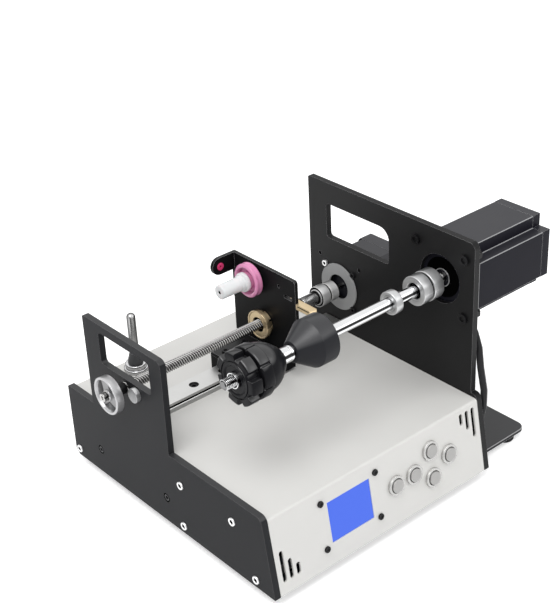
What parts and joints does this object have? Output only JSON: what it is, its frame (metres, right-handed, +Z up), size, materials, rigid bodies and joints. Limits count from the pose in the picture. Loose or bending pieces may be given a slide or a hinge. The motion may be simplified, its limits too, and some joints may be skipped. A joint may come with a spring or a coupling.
{
  "type": "wire coil winding machine",
  "caption": "Bench machine that winds wire onto a bobbin clamped between cones on a motor-driven spindle, with a lead screw that traverses the wire guide.",
  "frame": {"origin": "centre of the bounding box's base, on the plane that the rubber feet stand on", "axes": "+X along the spindle towards the motors, +Y from the front panel to the back, +Z up"},
  "size_m": [0.314, 0.2367, 0.191],
  "materials": {
    "black_metal": "satin black powder coat, fine texture",
    "grey_sheet": "warm light grey powder coat, fine texture",
    "dark_plastic": "matte black moulded plastic",
    "motor_black": "black lacquered motor frame",
    "steel": "fine turned steel",
    "chrome": "bright ground and plated steel",
    "aluminium": "bare machined aluminium",
    "brass": "machined brass",
    "black_screw": "black oxide steel screws",
    "rubber": "black rubber",
    "lcd": "blue backlit display glass",
    "circuit": "green circuit board",
    "button_metal": "satin metal button",
    "knob_white": "milky white plastic",
    "wheel_pink": "pink plastic wheel",
    "ruby": "polished ruby ceramic",
    "cable_black": "black cable jacket"
  },
  "bodies": {
    "base": {"left_plate": "black_metal", "right_plate": "black_metal", "deck_cover": "grey_sheet", "rear_panel": "grey_sheet", "base_pan": "black_metal", "tie_bars": "aluminium", "side_screws": "chrome", "board_screws": "black_screw", "outrigger_plate": "black_metal", "rubber_feet": "rubber", "slide_rail": "steel", "rail_screws": "black_screw", "display_glass": "lcd", "display_board": "circuit", "display_screws": "black_screw", "button_housings": "button_metal", "driver_board": "circuit", "board_standoffs": "brass", "power_inlet": "dark_plastic", "traverse_caps": "motor_black", "traverse_stator": "motor_black", "traverse_ring": "aluminium", "traverse_screws": "chrome", "spindle_caps": "motor_black", "spindle_stator": "motor_black", "spindle_motor_screws": "black_screw", "motor_cable": "cable_black", "screw_bearing": "steel", "plate_stud": "aluminium", "wire_post": "chrome", "post_seat": "aluminium", "post_cone": "dark_plastic"},
    "screw_shaft": {"lead_screw": "steel", "handwheel": "aluminium", "handwheel_screw": "chrome", "screw_coupler": "aluminium", "traverse_rotor": "steel"},
    "spindle": {"spindle_rod": "chrome", "spindle_sleeve": "aluminium", "drive_cone": "dark_plastic", "stop_collar": "aluminium", "spindle_coupler": "aluminium", "spindle_rotor": "steel"},
    "clamp": {"clamp_cone": "dark_plastic"},
    "clamp_nut": {"lock_nut": "dark_plastic", "nut_insert": "steel"},
    "carriage": {"carriage_block": "black_metal", "carriage_bracket": "black_metal", "bracket_screws": "steel", "lead_nut": "brass", "wire_eyelet": "ruby", "wire_finger": "brass", "wheel_axle": "steel", "wheel_knob": "knob_white"},
    "wheel": {"guide_wheel": "wheel_pink"},
    "key_side": {"button_side": "button_metal"},
    "key_left": {"button_left": "button_metal"},
    "key_up": {"button_up": "button_metal"},
    "key_down": {"button_down": "button_metal"},
    "key_right": {"button_right": "button_metal"}
  },
  "joints": [
    {"name": "screw_turn", "type": "hinge", "parent": "base", "child": "screw_shaft", "pos_m": [-0.037, 0.0365, 0.1055], "axis": [1, 0, 0], "range_deg": [-1261, 3826]},
    {"name": "carriage_slide", "type": "slide", "parent": "base", "child": "carriage", "axis": [1, 0, 0], "range_m": [-0.085, 0.028]},
    {"name": "spindle_spin", "type": "hinge", "parent": "base", "child": "spindle", "pos_m": [-0.037, -0.0695, 0.1525], "axis": [1, 0, 0], "continuous": true},
    {"name": "clamp_slide", "type": "slide", "parent": "spindle", "child": "clamp", "axis": [1, 0, 0], "range_m": [-0.008, 0]},
    {"name": "nut_turn", "type": "hinge", "parent": "clamp", "child": "clamp_nut", "pos_m": [-0.117, -0.0695, 0.1525], "axis": [1, 0, 0], "range_deg": [-2305, 0]},
    {"name": "wheel_spin", "type": "hinge", "parent": "carriage", "child": "wheel", "pos_m": [-0.014, 0.046, 0.14], "axis": [1, 0, 0], "continuous": true},
    {"name": "press_side", "type": "slide", "parent": "base", "child": "key_side", "axis": [0, 0.9859, -0.1671], "range_m": [0, 0.0015], "stiffness_N_per_m": 400},
    {"name": "press_left", "type": "slide", "parent": "base", "child": "key_left", "axis": [0, 0.9859, -0.1671], "range_m": [0, 0.0015], "stiffness_N_per_m": 400},
    {"name": "press_up", "type": "slide", "parent": "base", "child": "key_up", "axis": [0, 0.9859, -0.1671], "range_m": [0, 0.0015], "stiffness_N_per_m": 400},
    {"name": "press_down", "type": "slide", "parent": "base", "child": "key_down", "axis": [0, 0.9859, -0.1671], "range_m": [0, 0.0015], "stiffness_N_per_m": 400},
    {"name": "press_right", "type": "slide", "parent": "base", "child": "key_right", "axis": [0, 0.9859, -0.1671], "range_m": [0, 0.0015], "stiffness_N_per_m": 400}
  ],
  "couplings": [
    {"joint": "screw_turn", "follows": "carriage_slide", "rad_per_m": -785.4},
    {"joint": "nut_turn", "follows": "clamp_slide", "rad_per_m": 5026.5}
  ]
}
